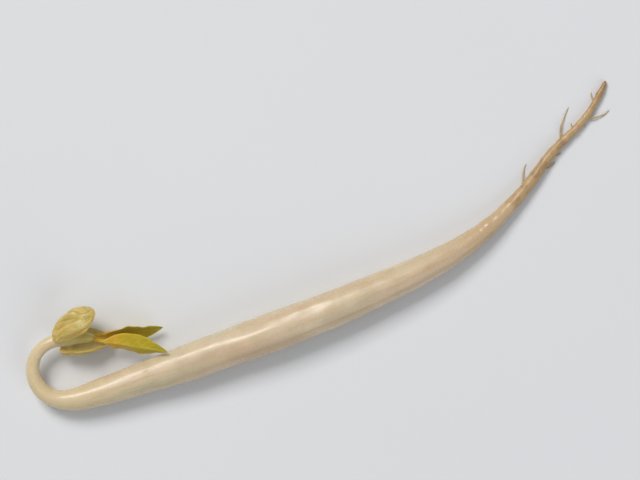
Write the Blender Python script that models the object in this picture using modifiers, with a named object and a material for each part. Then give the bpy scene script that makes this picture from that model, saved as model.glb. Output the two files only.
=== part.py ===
"""A mung bean sprout lying on its side, as picked: one stem with its root and hooked neck,
two seed leaves and the first pair of true leaves.

Metres, +Z up. X runs along the stem, with the hooked head at -X and the root tip at +X.
The sprout rests on the plane Z = 0, and the origin is at the bottom centre of its box.
"""

import math

import bmesh
import bpy
import numpy as np
from mathutils import Matrix, Vector

MM = 0.001

# The growing axis, from the root tip to the shoot. Each station has its distance along the axis (mm),
# the heading of the axis there (degrees, seen from above), the height of its centre and its radius (mm).
AXIS_STATIONS = (
    (0.0, 228.0, 0.34, 0.10),  # root tip
    (0.7, 226.0, 0.36, 0.27),
    (3.5, 218.0, 0.42, 0.38),
    (8.0, 203.0, 0.52, 0.48),
    (13.0, 214.0, 0.64, 0.60),
    (18.0, 208.0, 0.86, 0.76),
    (22.0, 202.0, 1.13, 0.98),  # collar, where the root becomes the stem
    (26.0, 194.0, 1.42, 1.32),
    (31.0, 187.0, 1.76, 1.70),
    (38.0, 183.2, 2.04, 2.08),
    (45.0, 181.6, 2.24, 2.31),
    (51.0, 180.2, 2.30, 2.38),  # belly, the thickest stretch, which carries the weight
    (57.0, 179.2, 2.26, 2.34),
    (63.0, 178.6, 2.13, 2.18),
    (69.0, 178.2, 1.96, 1.92),
    (73.0, 177.2, 1.90, 1.68),
    (77.0, 172.0, 1.94, 1.40),  # neck
    (79.4, 150.0, 2.02, 1.13),
    (82.0, 112.0, 2.16, 0.92),
    (84.6, 72.0, 2.34, 0.80),  # crown of the hook
    (87.2, 28.0, 2.52, 0.76),
    (89.4, -2.0, 2.64, 0.79),
    (91.0, -14.0, 2.70, 0.95),  # node, where the seed leaves grow
    (92.3, -19.0, 2.72, 0.74),
    (94.0, -22.0, 2.72, 0.60),
    (94.5, -22.0, 2.72, 0.50),  # end of the short upper stem
)
ROOT_END = 22.0
HOOK_START = 76.0
NODE_DISTANCE = 91.0
SHOOT_DISTANCE = 94.5
TRACE_STEP = 0.1

STEM_SIDES = 20
STEM_RING_GAP = 1.3
FINE_RING_GAP = 0.55
STEM_UNEVENNESS = 0.012

# Side rootlets: distance along the axis (mm), angle from the axis there, length and bend (mm, degrees).
ROOTLETS = (
    (5.2, 118.0, 3.3, 58.0),
    (9.4, -124.0, 4.6, -46.0),
    (13.6, 128.0, 2.3, 44.0),
    (16.8, -122.0, 3.4, -52.0),
)
ROOTLET_RADIUS = 0.15
ROOTLET_TAPER = 0.45
ROOTLET_SIDES = 8
ROOTLET_STEPS = 8

SEED_LEAF_LENGTH = 6.3
SEED_LEAF_WIDTH = 4.1
SEED_LEAF_DOME = 1.30
SEED_LEAF_DISH = 0.34
SEED_LEAF_RIM = 0.30
SEED_LEAF_BEND = 0.50
SEED_LEAF_CUP = 0.34
SEED_LEAF_WRINKLE = 0.21
SEED_LEAF_WAVER = 0.13
SEED_LEAF_HEADING = 4.0
SEED_LEAF_GAPE = 14.0
SEED_LEAF_AHEAD = 0.30
SEED_LEAF_DETAIL = 4
UPPER_ROLL = 46.0
UPPER_GAP = 0.53
LOWER_GAP = 0.32
LOWER_PHASE = 1.7

TRUE_LEAF_HALF_WIDTH = 1.6
TRUE_LEAF_THICKNESS = 0.6
TRUE_LEAF_FOLD = 22.0
TRUE_LEAF_STALK = 0.32
TRUE_LEAF_STALK_SHARE = 0.1
TRUE_LEAF_TIP = 0.1
TRUE_LEAF_RIPPLE = 0.13
TRUE_LEAF_ALONG = 22
TRUE_LEAF_ACROSS = 8
STALK_APART = 0.40
STALK_AHEAD = 0.12
LEAF_PAIR_ROLL = 44.0

REST_CUT_SIDE = 300.0
REST_CUT_DEPTH = 3.0
SHARP_ANGLE = 40.0

COLLECTION = "mung_bean_sprout"


def clear_scene():
    for obj in list(bpy.data.objects):
        bpy.data.objects.remove(obj)


def new_collection(name):
    collection = bpy.data.collections.new(name)
    bpy.context.scene.collection.children.link(collection)
    return collection


def new_material(name, colour, roughness):
    material = bpy.data.materials.new(name)
    material.use_nodes = True
    shader = material.node_tree.nodes["Principled BSDF"]
    shader.inputs["Base Color"].default_value = (*colour, 1.0)
    shader.inputs["Roughness"].default_value = roughness
    shader.inputs["Metallic"].default_value = 0.0
    return material


def station_value(distance, column):
    """A column of AXIS_STATIONS at a distance, on a smooth curve through the stations."""
    table = np.array(AXIS_STATIONS)
    x, y = table[:, 0], table[:, column]
    slopes = np.gradient(y, x)
    i = int(np.clip(np.searchsorted(x, distance) - 1, 0, len(x) - 2))
    gap = x[i + 1] - x[i]
    t = (distance - x[i]) / gap
    start = (1 + 2 * t) * (1 - t) ** 2 * y[i] + t * (1 - t) ** 2 * gap * slopes[i]
    end = t * t * (3 - 2 * t) * y[i + 1] + t * t * (t - 1) * gap * slopes[i + 1]
    return start + end


def trace_axis():
    """Points (mm) at every TRACE_STEP along the axis, found by following its heading."""
    distances = np.linspace(0.0, SHOOT_DISTANCE, round(SHOOT_DISTANCE / TRACE_STEP) + 1)
    headings = np.radians([station_value(d, 1) for d in distances])
    middle = (headings[1:] + headings[:-1]) / 2
    steps = np.diff(distances)
    x = np.concatenate([[0.0], np.cumsum(np.cos(middle) * steps)])
    y = np.concatenate([[0.0], np.cumsum(np.sin(middle) * steps)])
    z = np.array([station_value(d, 2) for d in distances])
    return distances, np.column_stack([x, y, z])


DISTANCES, TRACE = trace_axis()


def axis_point(distance):
    """The centre of the axis (mm) at a distance from the root tip."""
    return Vector([float(np.interp(distance, DISTANCES, TRACE[:, k])) for k in range(3)])


def stem_radius(distance):
    """The radius of the stem or root (mm), with the slight swellings of a grown stem."""
    swelling = math.sin(0.62 * distance) + 0.6 * math.sin(1.7 * distance + 1.0)
    return station_value(distance, 3) * (1.0 + STEM_UNEVENNESS * swelling)


def ring_distances():
    """Where the stem's rings stand: close together on the root and in the hook."""
    found = [0.0]
    while found[-1] < SHOOT_DISTANCE - FINE_RING_GAP:
        fine = found[-1] < ROOT_END or found[-1] > HOOK_START
        found.append(found[-1] + (FINE_RING_GAP if fine else STEM_RING_GAP))
    return found + [SHOOT_DISTANCE]


def tube(name, points, radii, sides, collection):
    """A closed tube through points (mm) with its own radius (mm) at each, as a mesh."""
    curve = bpy.data.curves.new(name, "CURVE")
    curve.dimensions = "3D"
    curve.bevel_depth = MM
    curve.bevel_resolution = sides // 2 - 2
    curve.use_fill_caps = True
    spline = curve.splines.new("POLY")
    spline.points.add(len(points) - 1)
    for slot, point, radius in zip(spline.points, points, radii):
        slot.co = (*(Vector(point) * MM), 1.0)
        slot.radius = radius
    guide = bpy.data.objects.new(name + "_guide", curve)
    collection.objects.link(guide)
    bpy.context.view_layer.update()
    graph = bpy.context.evaluated_depsgraph_get()
    mesh = bpy.data.meshes.new_from_object(guide.evaluated_get(graph))
    made = bpy.data.objects.new(name, mesh)
    made.matrix_world = guide.matrix_world
    bpy.data.objects.remove(guide)
    form = bmesh.new()
    form.from_mesh(mesh)
    bmesh.ops.remove_doubles(form, verts=form.verts, dist=0.001 * MM)
    bmesh.ops.recalc_face_normals(form, faces=form.faces)
    form.to_mesh(mesh)
    form.free()
    collection.objects.link(made)
    return made


def finish_piece(obj, material, base):
    """Gives a piece its material and smooth shading, and hangs it on the sprout's base."""
    obj.data.materials.clear()
    obj.data.materials.append(material)
    obj.data.shade_smooth()
    obj.data.set_sharp_from_angle(angle=math.radians(SHARP_ANGLE))
    obj.parent = base
    return obj


def rootlet(index, collection):
    """One side rootlet, which starts inside the root and bends away from it."""
    distance, turn, length, bend = ROOTLETS[index]
    heading = station_value(distance, 1) + turn
    points = [axis_point(distance)]
    for step in range(ROOTLET_STEPS):
        angle = math.radians(heading + bend * step / ROOTLET_STEPS)
        ahead = Vector((math.cos(angle), math.sin(angle), 0.0))
        points.append(points[-1] + ahead * (length / ROOTLET_STEPS))
    radii = [ROOTLET_RADIUS * share for share in np.linspace(1.0, ROOTLET_TAPER, len(points))]
    return tube(f"rootlet_{index}", points, radii, ROOTLET_SIDES, collection)


def stem_with_root(collection, material, base):
    """Root, stem, hooked neck and short upper stem: one growth, so one solid."""
    distances = ring_distances()
    points = [axis_point(d) for d in distances]
    radii = [stem_radius(d) for d in distances]
    stem = tube("stem_with_root", points, radii, STEM_SIDES, collection)
    rootlets = new_collection("rootlets")
    for index in range(len(ROOTLETS)):
        rootlet(index, rootlets)
    union = stem.modifiers.new("rootlets", "BOOLEAN")
    union.operation = "UNION"
    union.solver = "EXACT"
    union.operand_type = "COLLECTION"
    union.collection = rootlets
    bpy.context.view_layer.update()
    graph = bpy.context.evaluated_depsgraph_get()
    joined = bpy.data.meshes.new_from_object(stem.evaluated_get(graph))
    stem.modifiers.clear()
    stem.data = joined
    for obj in list(rootlets.objects):
        bpy.data.objects.remove(obj)
    bpy.data.collections.remove(rootlets)
    return finish_piece(stem, material, base)


def seed_leaf_point(p, side, phase):
    """Where a point p of the unit sphere goes on a seed leaf lying flat side down, in mm.

    X runs from the end that grows on the node to the far end, and Z out through the dome.
    side is 1 or -1 and sets which way the ends bend, and phase moves the wrinkles.
    """
    blunt = 1.0 + 0.16 * p.x - 0.14 * p.x * p.x
    x = SEED_LEAF_LENGTH / 2 * p.x
    y = SEED_LEAF_WIDTH / 2 * p.y * blunt - side * SEED_LEAF_BEND * p.x * p.x
    y += SEED_LEAF_WAVER * math.sin(4.3 * p.x + phase) * p.y
    if p.z >= 0.0:
        lanes = math.sin(5.6 * p.y + 0.9 * math.sin(2.4 * p.x + phase))
        creases = 0.5 * math.sin(10.5 * p.y - 2.6 * p.x + phase)
        z = SEED_LEAF_DOME * p.z + SEED_LEAF_WRINKLE * (lanes + creases) * p.z
    else:
        z = SEED_LEAF_RIM * p.z + SEED_LEAF_DISH * p.z * p.z
    return Vector((x, y, z - SEED_LEAF_CUP * p.y * p.y))


def seed_leaf(name, side, phase, gap, collection, material, base):
    """One shrunken half of the bean: domed and wrinkled outside, dished inside.

    side is 1 for the half above the shoot and -1 for the half below it.
    """
    form = bmesh.new()
    bmesh.ops.create_icosphere(form, subdivisions=SEED_LEAF_DETAIL, radius=1.0)
    for vertex in form.verts:
        vertex.co = seed_leaf_point(vertex.co, side, phase) * MM
    mesh = bpy.data.meshes.new(name)
    form.to_mesh(mesh)
    form.free()
    half = bpy.data.objects.new(name, mesh)
    collection.objects.link(half)
    roll = UPPER_ROLL if side > 0 else UPPER_ROLL + 180.0
    out = stem_radius(NODE_DISTANCE) + gap
    half.matrix_world = (
        Matrix.Translation(axis_point(NODE_DISTANCE) * MM)
        @ Matrix.Rotation(math.radians(SEED_LEAF_HEADING), 4, "Z")
        @ Matrix.Rotation(math.radians(-roll), 4, "X")
        @ Matrix.Rotation(math.radians(-SEED_LEAF_GAPE), 4, "Y")
        @ Matrix.Translation(Vector((SEED_LEAF_LENGTH * SEED_LEAF_AHEAD, 0.0, out)) * MM)
    )
    return finish_piece(half, material, base)


def true_leaf_point(u, v, length, phase):
    """A point of a leaf blade, in mm: u runs from stalk to tip and v from edge to edge.

    The midrib is the ridge, along X, and the two halves of the blade fall away from it.
    """
    opened = min(max(u - TRUE_LEAF_STALK_SHARE, 0.0) / (1.0 - TRUE_LEAF_STALK_SHARE), 1.0)
    outline = max(math.sin(math.pi * opened**0.85), 0.0) ** 0.9
    half_width = max(TRUE_LEAF_HALF_WIDTH * outline, TRUE_LEAF_STALK * (1.0 - u), TRUE_LEAF_TIP)
    fold = math.radians(TRUE_LEAF_FOLD) * min(u / 0.3, 1.0)
    wave = math.sin(2.0 * math.pi * (2.3 * u + phase) + 1.4 * v)
    ripple = TRUE_LEAF_RIPPLE * outline * abs(v) * wave
    side = half_width * abs(v)
    x = length * u
    y = math.copysign(side * math.cos(fold) + ripple * math.sin(fold), v) if v else 0.0
    z = ripple * math.cos(fold) - side * math.sin(fold)
    return Vector((x, y, z))


def true_leaf(name, length, phase, roll, gape, twist, collection, material, base):
    """One first leaf, half folded along its midrib, as a thin closed blade with its stalk.

    roll turns its back away from straight up about the upper stem's own direction, gape swings
    the blade away from the other leaf, and twist turns it about its midrib (degrees).
    """
    form = bmesh.new()
    spread = [2.0 * j / TRUE_LEAF_ACROSS - 1.0 for j in range(TRUE_LEAF_ACROSS + 1)]
    rows = []
    for i in range(TRUE_LEAF_ALONG + 1):
        u = i / TRUE_LEAF_ALONG
        rows.append([form.verts.new(true_leaf_point(u, v, length, phase) * MM) for v in spread])
    for near, far in zip(rows, rows[1:]):
        for j in range(TRUE_LEAF_ACROSS):
            corners = near[j], far[j], far[j + 1], near[j + 1]
            if j >= TRUE_LEAF_ACROSS // 2:
                corners = corners[1:] + corners[:1]
            form.faces.new((corners[0], corners[1], corners[2]))
            form.faces.new((corners[0], corners[2], corners[3]))
    bmesh.ops.recalc_face_normals(form, faces=form.faces)
    mesh = bpy.data.meshes.new(name)
    form.to_mesh(mesh)
    form.free()
    leaf = bpy.data.objects.new(name, mesh)
    collection.objects.link(leaf)
    heading = math.radians(station_value(SHOOT_DISTANCE, 1))
    ahead = Vector((math.cos(heading), math.sin(heading), 0.0)) * STALK_AHEAD
    leaf.matrix_world = (
        Matrix.Translation((axis_point(SHOOT_DISTANCE) + ahead) * MM)
        @ Matrix.Rotation(heading, 4, "Z")
        @ Matrix.Rotation(math.radians(roll), 4, "X")
        @ Matrix.Translation(Vector((0.0, 0.0, STALK_APART)) * MM)
        @ Matrix.Rotation(math.radians(-gape), 4, "Y")
        @ Matrix.Rotation(math.radians(twist), 4, "X")
    )
    solidify = leaf.modifiers.new("blade", "SOLIDIFY")
    solidify.thickness = TRUE_LEAF_THICKNESS * MM
    solidify.offset = 0.0
    solidify.use_even_offset = True
    return finish_piece(leaf, material, base)


def rest_cutter(collection):
    """A block under the surface, which trims a small flat on each piece that touches it."""
    mesh = bpy.data.meshes.new("rest_cutter")
    form = bmesh.new()
    bmesh.ops.create_cube(form, size=MM)
    form.to_mesh(mesh)
    form.free()
    cutter = bpy.data.objects.new("rest_cutter", mesh)
    cutter.scale = (REST_CUT_SIDE, REST_CUT_SIDE, REST_CUT_DEPTH)
    cutter.location.z = -REST_CUT_DEPTH / 2 * MM
    cutter.hide_render = True
    cutter.display_type = "WIRE"
    collection.objects.link(cutter)
    return cutter


def trim_at_surface(piece, cutter):
    trim = piece.modifiers.new("rest_flat", "BOOLEAN")
    trim.operation = "DIFFERENCE"
    trim.solver = "EXACT"
    trim.object = cutter


def centre_over_origin(base, pieces):
    """Moves the base so that the origin is at the bottom centre of the whole sprout."""
    bpy.context.view_layer.update()
    graph = bpy.context.evaluated_depsgraph_get()
    corners = []
    for piece in pieces:
        shape = piece.evaluated_get(graph)
        corners += [shape.matrix_world @ vertex.co for vertex in shape.data.vertices]
    for axis in range(2):
        values = [corner[axis] for corner in corners]
        base.location[axis] = -(min(values) + max(values)) / 2


def main():
    clear_scene()
    parts = new_collection(COLLECTION)
    cutters = new_collection("cutters")
    base = bpy.data.objects.new("sprout_base", None)
    parts.objects.link(base)
    stem_white = new_material("stem_white", (0.74, 0.62, 0.42), 0.35)
    seed_leaf_tan = new_material("seed_leaf_tan", (0.56, 0.38, 0.13), 0.5)
    leaf_yellow = new_material("leaf_yellow", (0.42, 0.36, 0.05), 0.45)
    stem = stem_with_root(parts, stem_white, base)
    upper = seed_leaf("seed_leaf_upper", 1, 0.0, UPPER_GAP, parts, seed_leaf_tan, base)
    lower = seed_leaf("seed_leaf_lower", -1, LOWER_PHASE, LOWER_GAP, parts, seed_leaf_tan, base)
    inner = true_leaf(
        "first_leaf_inner", 8.8, 0.0, LEAF_PAIR_ROLL, 11.0, -4.0, parts, leaf_yellow, base
    )
    outer = true_leaf(
        "first_leaf_outer", 8.0, 0.4, LEAF_PAIR_ROLL + 180.0, 12.0, 4.0, parts, leaf_yellow, base
    )
    cutter = rest_cutter(cutters)
    trim_at_surface(stem, cutter)
    trim_at_surface(lower, cutter)
    centre_over_origin(base, [stem, upper, lower, inner, outer])


main()
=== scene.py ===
"""The looks of a mung bean sprout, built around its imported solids.

Lengths are in millimetres while a shape is worked out, and in metres in the properties and in the
finished pieces. Named angles are in degrees. Distances along the sprout run from the root tip to
the shoot, as in the solids.
"""

import math

import bmesh
import bpy
import numpy as np
from bpy.props import FloatProperty, FloatVectorProperty, IntProperty, PointerProperty
from mathutils import Matrix, Vector, noise


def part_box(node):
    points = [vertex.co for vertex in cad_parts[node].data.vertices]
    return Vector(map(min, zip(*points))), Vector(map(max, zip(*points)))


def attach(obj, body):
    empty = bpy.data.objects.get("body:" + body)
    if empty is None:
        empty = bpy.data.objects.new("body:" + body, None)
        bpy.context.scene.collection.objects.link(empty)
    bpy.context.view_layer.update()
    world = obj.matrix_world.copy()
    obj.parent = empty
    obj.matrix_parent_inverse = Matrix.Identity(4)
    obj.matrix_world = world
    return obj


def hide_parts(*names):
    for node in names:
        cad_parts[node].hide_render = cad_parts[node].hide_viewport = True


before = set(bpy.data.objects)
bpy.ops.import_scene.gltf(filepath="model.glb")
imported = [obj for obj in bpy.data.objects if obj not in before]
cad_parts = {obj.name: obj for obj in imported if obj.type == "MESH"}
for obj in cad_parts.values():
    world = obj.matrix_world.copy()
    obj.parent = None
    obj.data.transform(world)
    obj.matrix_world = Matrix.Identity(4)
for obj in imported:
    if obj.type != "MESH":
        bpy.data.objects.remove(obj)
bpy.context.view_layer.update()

bl_info = {
    "name": "Mung Bean Sprout",
    "version": (1, 0, 0),
    "blender": (4, 5, 0),
    "location": "3D View > Sidebar > Sprout",
    "description": "Builds a mung bean sprout with its root, seed leaves and first leaves",
    "category": "Add Mesh",
}

MM = 0.001

# Distance along the axis (mm), heading seen from above (degrees), height of the centre and
# radius (mm).
AXIS_STATIONS = (
    (0.0, 228.0, 0.34, 0.10),  # root tip
    (0.7, 226.0, 0.36, 0.27),
    (3.5, 218.0, 0.42, 0.38),
    (8.0, 203.0, 0.52, 0.48),
    (13.0, 214.0, 0.64, 0.60),
    (18.0, 208.0, 0.86, 0.76),
    (22.0, 202.0, 1.13, 0.98),  # collar
    (26.0, 194.0, 1.42, 1.32),
    (31.0, 187.0, 1.76, 1.70),
    (38.0, 183.2, 2.04, 2.08),
    (45.0, 181.6, 2.24, 2.31),
    (51.0, 180.2, 2.30, 2.38),  # belly
    (57.0, 179.2, 2.26, 2.34),
    (63.0, 178.6, 2.13, 2.18),
    (69.0, 178.2, 1.96, 1.92),
    (73.0, 177.2, 1.90, 1.68),
    (77.0, 172.0, 1.94, 1.40),  # neck
    (79.4, 150.0, 2.02, 1.13),
    (82.0, 112.0, 2.16, 0.92),
    (84.6, 72.0, 2.34, 0.80),  # crown of the hook
    (87.2, 28.0, 2.52, 0.76),
    (89.4, -2.0, 2.64, 0.79),
    (91.0, -14.0, 2.70, 0.95),  # node of the seed leaves
    (92.3, -19.0, 2.72, 0.74),
    (94.0, -22.0, 2.72, 0.60),
    (94.5, -22.0, 2.72, 0.50),  # end of the upper stem
)
NODE_DISTANCE = 91.0
SHOOT_DISTANCE = 94.5
TRACE_STEP = 0.1
STEM_UNEVENNESS = 0.012

# Both ends of the stem are rounded over these lengths, by rings that crowd together there.
TIP_ROUND = 0.6
TIP_RADIUS = 0.27
TIP_RINGS = 10
TOP_ROUND = 1.5
TOP_RINGS = 20
FIRST_RING_TURN = 0.08
RING_CLEARANCE = 0.02

# Layers of the skin's relief: stretch of the place, width of a feature, seed and height (mm).
RIBS = ((0.10, 1.0, 1.0), 0.85, 1, 0.035)
WAVES = ((0.5, 1.0, 1.0), 1.9, 2, 0.05)
ROOT_LUMPS = ((1.0, 1.0, 1.0), 0.75, 3, 0.055)
ROOT_GRAIN = ((0.6, 1.0, 1.0), 0.28, 4, 0.016)
HOOK_CREASES = ((1.0, 0.25, 0.25), 0.5, 5, 0.03)
COLLAR_CREASES = ((1.0, 0.22, 0.22), 0.55, 6, 0.05)

# Where the root's relief ends, where the hook's begins and ends, and the collar's middle and reach.
ROOT_RELIEF = (17.0, 27.0)
HOOK_RELIEF_START = (76.5, 79.0)
HOOK_RELIEF_END = (88.0, 90.0)
COLLAR_PLACE = 23.5
COLLAR_REACH = 3.0
HOOK_INSIDE_TURN = 0.75

# The section is slightly oval, and the oval turns along the stem (radians for each mm).
OVAL_SHARE = 0.022
OVAL_TWIST = 0.045

# Soft dents where the stem was pressed: distance, angle round the stem, length, width and depth.
DENTS = (
    (32.5, 150.0, 4.0, 1.2, 0.12),
    (41.0, 62.0, 5.0, 1.0, 0.10),
    (47.0, 108.0, 2.2, 0.8, 0.09),
    (54.5, 128.0, 3.4, 0.8, 0.09),
    (62.0, 74.0, 4.5, 1.0, 0.11),
    (70.5, 112.0, 2.4, 0.8, 0.08),
    (57.0, 15.0, 5.0, 1.0, 0.10),
    (44.0, 190.0, 4.0, 1.0, 0.10),
    (66.0, 200.0, 3.0, 0.9, 0.08),
)

# Where each tint of the stem's skin begins and where it is full: distances along the axis.
NECK_TINT = (68.0, 82.0)
SHOOT_TINT = (88.5, 93.5)
COLLAR_TINT = (33.0, 22.0)
ROOT_TINT = (23.0, 14.0)
TIP_TINT = (3.5, 0.0)
TINT_WANDER = 5.0

# Side rootlets: distance along the axis, angle from the axis there (degrees), length and bend
# (degrees).
ROOTLETS = (
    (5.2, 118.0, 3.3, 58.0),
    (9.4, -124.0, 4.6, -46.0),
    (13.6, 128.0, 2.3, 44.0),
    (16.8, -122.0, 3.4, -52.0),
    (3.1, -118.0, 1.5, -36.0),
    (7.4, -136.0, 1.1, 30.0),
    (11.6, 121.0, 1.6, 48.0),
    (19.4, 126.0, 1.2, 40.0),
    (14.9, -112.0, 0.9, -30.0),
    (6.3, 138.0, 0.8, -26.0),
)
ROOTLET_SIDES = 14
ROOTLET_STEPS = 40
ROOTLET_TAPER = 0.62
ROOTLET_LIFT = 0.03
ROOTLET_UNEVENNESS = 0.12

SEED_LEAF_DOME = 1.30
SEED_LEAF_DISH = 0.34
SEED_LEAF_RIM = 0.30
SEED_LEAF_BEND = 0.50
SEED_LEAF_CUP = 0.34
SEED_LEAF_WRINKLE = 0.21
SEED_LEAF_WAVER = 0.13
SEED_LEAF_HEADING = 4.0
SEED_LEAF_GAPE = 14.0
SEED_LEAF_AHEAD = 0.30
FOLD_DEPTH = 0.06
SMALL_FOLD_DEPTH = 0.012
UPPER_ROLL = 46.0
UPPER_GAP = 0.53
LOWER_GAP = 0.32
LOWER_PHASE = 1.7
SEED_JOINT_SINK = 0.4
SEED_JOINT_REACH = (0.55, 0.62)

# A first leaf runs from 0 at its stalk to 1 at its tip. Its mesh starts below 0, inside the stem,
# and stops just short of 1, so that the last ring still has a width.
LEAF_START = -0.14
LEAF_END = 0.9985
LEAF_ROWS = 170
LEAF_COLUMNS = 54
LEAF_FOLD = 22.0
LEAF_RIPPLE = 0.13
LEAF_STALK = 0.32
LEAF_STALK_SHARE = 0.1
LEAF_STALK_THICKNESS = 0.52
LEAF_STALK_SINK = 0.34
LEAF_TIP_SHARE = 0.03
LEAF_THIN_SHARE = 0.07
LEAF_GRAIN = 0.02
VEIN_RISE_BACK = 0.05
VEIN_RISE_FRONT = 0.03
MIDRIB_WIDTH = 0.085
SIDE_VEIN_WIDTH = 0.075
SIDE_VEIN_SPACING = 0.105
SIDE_VEIN_SLANT = 0.20
MEAN_LEAF_LENGTH = 8.5
STALK_APART = 0.40
STALK_AHEAD = 0.12
LEAF_PAIR_ROLL = 44.0
# Phase of the ripples, roll, gape and twist of each first leaf.
INNER_LEAF = (0.0, LEAF_PAIR_ROLL, 11.0, -4.0)
OUTER_LEAF = (0.4, LEAF_PAIR_ROLL + 180.0, 12.0, 4.0)
BUD_HALF_SIZES = (0.95, 0.24, 0.24)
BUD_DETAIL = 5

# Name, azimuth (0 is behind the sprout, 90 to its right), elevation, distance and width (m),
# power (W) and colour.
LIGHTS = (
    ("key", -14.0, 50.0, 1.6, 0.65, 16.5, (1.0, 0.97, 0.94)),
    ("fill", 160.0, 34.0, 1.6, 1.2, 6.0, (0.95, 0.97, 1.0)),
    ("top", 10.0, 82.0, 1.8, 1.2, 2.6, (1.0, 1.0, 1.0)),
)

# Colour and strength of the room's even light. The floor reaches FLOOR_REACH (m) each way, and
# lies FLOOR_DROP (mm) below the sprout.
ROOM_COLOUR = (0.93, 0.96, 1.0, 1.0)
ROOM_LIGHT = 0.24
FLOOR_REACH = 1.5
FLOOR_DROP = 0.02
CAMERA_ROLL = -20.6
CAMERA_CLIP = 0.01


def linear(red, green, blue):
    """A screen colour, 0 to 255, as the linear values that Blender's colours hold."""
    found = []
    for value in (red, green, blue):
        share = value / 255
        found.append(share / 12.92 if share <= 0.04045 else ((share + 0.055) / 1.055) ** 2.4)
    return tuple(found)


def length_property(name, description, millimetres):
    """A length, with its default given in millimetres."""
    return FloatProperty(
        name=name, description=description, default=millimetres * MM, unit="LENGTH"
    )


class SproutSizes(bpy.types.PropertyGroup):
    stem_sides: IntProperty(name="Stem sides", description="Points round the stem", default=72)
    ring_gap: length_property("Ring gap", "Distance between the stem's rings", 0.14)
    rootlet_radius: length_property("Rootlet radius", "Radius of a side rootlet", 0.125)
    seed_detail: IntProperty(
        name="Seed leaf detail", description="Subdivisions of each seed leaf", default=7
    )
    seed_length: length_property("Seed leaf length", "Length of a seed leaf", 6.3)
    seed_width: length_property("Seed leaf width", "Width of a seed leaf", 4.1)
    inner_length: length_property("Inner leaf length", "Length of the inner first leaf", 8.8)
    outer_length: length_property("Outer leaf length", "Length of the outer first leaf", 8.0)
    leaf_width: length_property("Leaf width", "Width of a first leaf laid flat", 3.2)
    blade_thickness: length_property("Blade thickness", "Thickness of a first leaf", 0.22)
    view_width: length_property("View width", "Width that the camera takes in", 78.0)
    camera_height: length_property("Camera height", "Height of the camera", 340.0)


def colour_property(name, description, default):
    return FloatVectorProperty(
        name=name,
        description=description,
        default=default,
        size=3,
        subtype="COLOR",
        min=0.0,
        max=1.0,
    )


class SproutColours(bpy.types.PropertyGroup):
    ivory: colour_property("Ivory", "Plump part of the stem", linear(224, 206, 175))
    blush: colour_property("Blush", "Warmer streaks in the stem", linear(214, 186, 156))
    green_cast: colour_property("Green cast", "Cooler streaks in the stem", linear(208, 201, 164))
    watery: colour_property("Watery", "Soaked, see-through patches", linear(199, 179, 145))
    neck: colour_property("Neck", "Hooked neck", linear(226, 208, 165))
    shoot: colour_property("Shoot", "Upper stem by the leaves", linear(208, 192, 106))
    collar: colour_property("Collar", "Where the root begins", linear(206, 180, 142))
    root: colour_property("Root", "Root", linear(192, 163, 118))
    root_dark: colour_property("Dark root", "Root tip and worn places", linear(150, 115, 73))
    bruise: colour_property("Bruise", "Marks on the skin", linear(188, 148, 92))
    seed_tan: colour_property("Seed tan", "Seed leaf skin", linear(208, 180, 98))
    # Painted highlight on the tops of the seed leaf's wrinkles; the same colour also tints the
    # fibres.
    seed_highlight_and_fibre: colour_property("Seed pale", "Tops of the wrinkles", linear(224, 203, 132))
    # Painted shade in the bottoms of the seed leaf's wrinkles; the same colour also marks the
    # specks.
    seed_crease_shade_and_specks: colour_property("Seed dark", "Bottoms of the wrinkles", linear(162, 126, 56))
    seed_olive: colour_property("Seed olive", "Green cast of a seed leaf", linear(190, 174, 84))
    leaf_base: colour_property("Leaf base", "First leaf near its stalk", linear(222, 178, 54))
    leaf_middle: colour_property("Leaf middle", "Middle of a first leaf", linear(205, 180, 42))
    leaf_tip: colour_property("Leaf tip", "Tip of a first leaf", linear(182, 168, 38))
    leaf_vein: colour_property("Leaf vein", "Veins of a first leaf", linear(226, 206, 96))
    floor: colour_property("Floor", "Floor", linear(231, 233, 236))


def station_curve(distances, column):
    """A column of AXIS_STATIONS at distances, on a smooth curve through the stations."""
    table = np.array(AXIS_STATIONS)
    x, y = table[:, 0], table[:, column]
    slopes = np.gradient(y, x)
    i = np.clip(np.searchsorted(x, distances) - 1, 0, len(x) - 2)
    gap = x[i + 1] - x[i]
    t = (distances - x[i]) / gap
    start = (1 + 2 * t) * (1 - t) ** 2 * y[i] + t * (1 - t) ** 2 * gap * slopes[i]
    end = t * t * (3 - 2 * t) * y[i + 1] + t * t * (t - 1) * gap * slopes[i + 1]
    return start + end


def trace_axis():
    """Distances and points (mm) of the axis, found by following its heading."""
    distances = np.linspace(0.0, SHOOT_DISTANCE, round(SHOOT_DISTANCE / TRACE_STEP) + 1)
    headings = np.radians(station_curve(distances, 1))
    middle = (headings[1:] + headings[:-1]) / 2
    steps = np.diff(distances)
    x = np.concatenate([[0.0], np.cumsum(np.cos(middle) * steps)])
    y = np.concatenate([[0.0], np.cumsum(np.sin(middle) * steps)])
    return distances, np.column_stack([x, y, station_curve(distances, 2)])


def stem_radius(distances):
    """The plain radius of the stem or root (mm), with the slight swellings of a grown stem."""
    swelling = np.sin(0.62 * distances) + 0.6 * np.sin(1.7 * distances + 1.0)
    return station_curve(distances, 3) * (1.0 + STEM_UNEVENNESS * swelling)


TRACE_AT, TRACE = trace_axis()


def shift_to_frame():
    """What to add to a traced point (mm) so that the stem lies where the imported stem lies."""
    low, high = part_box("stem_with_root")
    heading = np.radians(station_curve(TRACE_AT, 1))
    radius = stem_radius(TRACE_AT)
    shift = np.zeros(3)
    for axis, reach in ((0, np.abs(np.sin(heading))), (1, np.abs(np.cos(heading)))):
        nearest = (TRACE[:, axis] - radius * reach).min()
        furthest = (TRACE[:, axis] + radius * reach).max()
        shift[axis] = (low[axis] + high[axis]) / 2 / MM - (nearest + furthest) / 2
    return shift


SHIFT = shift_to_frame()


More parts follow.
